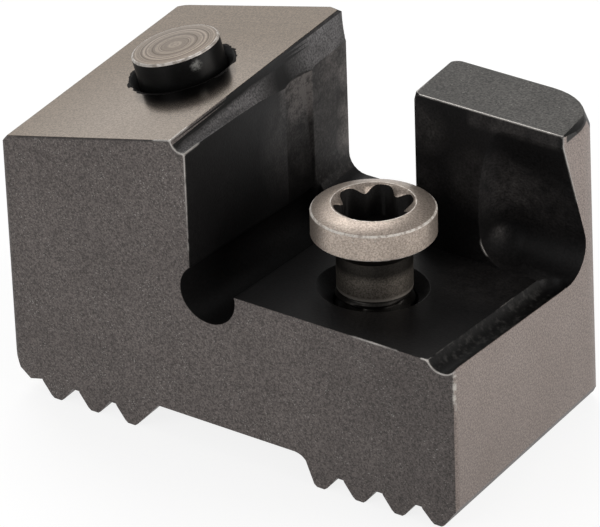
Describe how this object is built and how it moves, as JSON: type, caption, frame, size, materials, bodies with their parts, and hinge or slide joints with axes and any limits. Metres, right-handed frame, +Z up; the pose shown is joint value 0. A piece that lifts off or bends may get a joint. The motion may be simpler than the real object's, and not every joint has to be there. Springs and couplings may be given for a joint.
{
  "type": "milling cassette",
  "caption": "Serrated steel cassette for a milling cutter, with a tilted insert seat, a clamping screw and a locating pin.",
  "frame": {"origin": "under the middle of the box, on the plane of the serration crests", "axes": "+X from the tall clamping block to the post side, +Y from the front face to the back face, +Z up from the serrations"},
  "size_m": [0.0232, 0.0126, 0.0162],
  "materials": {
    "blackened_steel": "blackened and ground, satin",
    "bright_steel": "grey phosphated, mottled satin",
    "dark_pin_steel": "hardened, with a turned end face"
  },
  "bodies": {
    "cassette": {"cassette_body": "blackened_steel", "locating_pin": "dark_pin_steel"},
    "screw": {"clamp_screw": "bright_steel"}
  },
  "joints": [
    {"name": "screw_travel", "type": "slide", "parent": "cassette", "child": "screw", "axis": [-0.0261, 0.0523, 0.9983], "range_m": [-0.0024, 0.004]}
  ]
}
